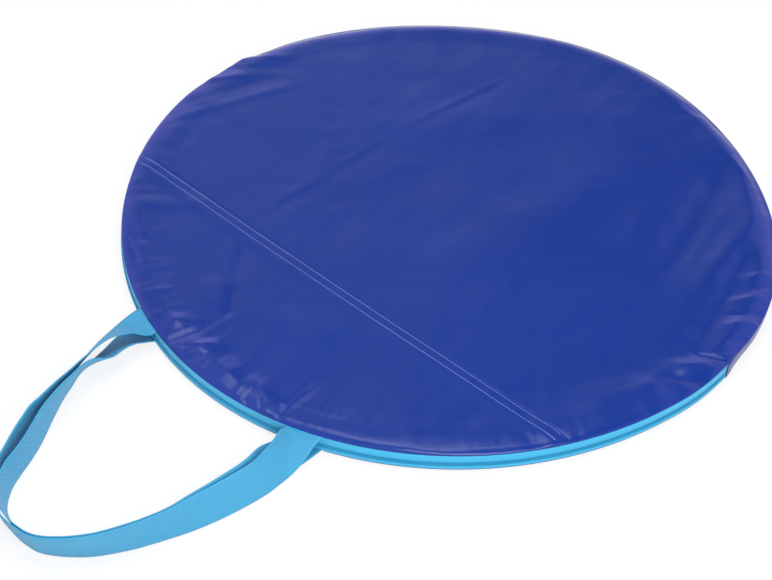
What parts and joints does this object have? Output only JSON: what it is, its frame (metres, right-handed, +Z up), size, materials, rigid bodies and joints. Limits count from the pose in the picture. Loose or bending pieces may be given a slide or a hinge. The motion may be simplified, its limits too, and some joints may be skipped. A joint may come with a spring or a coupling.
{
  "type": "roundnet set in carry bag",
  "caption": "Roundnet game set packed in a flat round zipped carry bag: ring with net, legs, balls and pump inside, zip round the front half, webbing handles.",
  "frame": {"origin": "middle of the bag's base, on the floor", "axes": "+Z up through the top panel, -Y towards the handles at the front of the zip, +X to the right when looking along +Y"},
  "size_m": [0.9495, 1.2872, 0.052],
  "materials": {
    "bag_cloth": "coated cloth, slightly glossy, royal blue",
    "binding": "folded binding tape",
    "zip_tape": "woven zip tape, turquoise",
    "zip_coil": "nylon coil, turquoise",
    "zip_metal": "die-cast, painted turquoise",
    "thread": "polyester thread, pale lilac blue",
    "webbing": "woven webbing, turquoise",
    "ring_plastic": "moulded, navy, fine grain",
    "sleeve_plastic": "moulded, turquoise",
    "leg_plastic": "moulded, navy, fine grain",
    "foot_rubber": "rubber, black",
    "net_cord": "flat woven cords, near white",
    "net_tape": "woven tape, turquoise",
    "hook_plastic": "moulded nylon, black",
    "ball_rubber": "pebbled vinyl, turquoise",
    "pump_plastic": "moulded, blue",
    "pump_trim": "moulded, black",
    "needle_steel": "steel"
  },
  "bodies": {
    "base": {"base_panel": "bag_cloth", "back_wall": "bag_cloth", "rear_top_panel": "bag_cloth", "base_binding": "binding", "back_binding": "binding", "lower_zip_tape": "zip_tape", "lower_zip_coil": "zip_coil", "upper_zip_tape_ends": "zip_tape", "upper_zip_coil_ends": "zip_coil", "closed_end_tab": "bag_cloth", "open_end_tab": "bag_cloth", "inner_handle_feet": "webbing", "ring_tube_1": "ring_plastic", "ring_tube_2": "ring_plastic", "ring_tube_3": "ring_plastic", "ring_tube_4": "ring_plastic", "ring_tube_5": "ring_plastic", "ring_sleeve_1": "sleeve_plastic", "ring_sleeve_2": "sleeve_plastic", "ring_sleeve_3": "sleeve_plastic", "ring_sleeve_4": "sleeve_plastic", "ring_sleeve_5": "sleeve_plastic", "leg_1": "leg_plastic", "leg_2": "leg_plastic", "leg_3": "leg_plastic", "leg_4": "leg_plastic", "leg_5": "leg_plastic", "leg_foot_1": "foot_rubber", "leg_foot_2": "foot_rubber", "leg_foot_3": "foot_rubber", "leg_foot_4": "foot_rubber", "leg_foot_5": "foot_rubber", "net": "net_cord", "net_border": "net_tape", "net_hooks": "hook_plastic", "ball_1": "ball_rubber", "ball_2": "ball_rubber", "ball_3": "ball_rubber", "pump_barrel": "pump_plastic", "pump_cap": "pump_trim", "pump_needle": "needle_steel"},
    "lid": {"middle_top_panel": "bag_cloth", "front_top_panel": "bag_cloth", "seam_allowance": "bag_cloth", "seam_stitches": "thread", "lid_binding": "binding", "upper_zip_tape": "zip_tape", "upper_zip_coil": "zip_coil", "outer_handle_feet": "webbing"},
    "outer_handle": {"outer_handle_loop": "webbing"},
    "inner_handle": {"inner_handle_loop": "webbing"},
    "slider": {"zip_slider": "zip_metal", "slider_plate": "zip_metal"},
    "pull": {"pull_tab": "zip_metal"},
    "plunger": {"pump_plunger": "pump_trim", "pump_grip": "pump_trim"}
  },
  "joints": [
    {"name": "lid_fold", "type": "hinge", "parent": "base", "child": "lid", "pos_m": [0, 0.012, 0.034], "axis": [-1, 0, 0], "range_deg": [0, 145]},
    {"name": "outer_handle_lift", "type": "hinge", "parent": "lid", "child": "outer_handle", "pos_m": [0, -0.46, 0.02775], "axis": [-1, 0, 0], "range_deg": [0, 90]},
    {"name": "inner_handle_lift", "type": "hinge", "parent": "base", "child": "inner_handle", "pos_m": [0, -0.46, 0.00285], "axis": [-1, 0, 0], "range_deg": [0, 77.4]},
    {"name": "zip_run", "type": "hinge", "parent": "base", "child": "slider", "pos_m": [0, 0, 0.0117], "axis": [0, 0, 1], "range_deg": [0, 185.4]},
    {"name": "pull_swing", "type": "hinge", "parent": "slider", "child": "pull", "pos_m": [-0.47547, 0.02409, 0.0117], "axis": [0, 0, 1], "range_deg": [0, 160]},
    {"name": "pump_stroke", "type": "slide", "parent": "base", "child": "plunger", "axis": [1, 0, 0], "range_m": [0, 0.09]}
  ],
  "couplings": [
    {"joint": "inner_handle_lift", "follows": "outer_handle_lift", "ratio": 0.86}
  ]
}
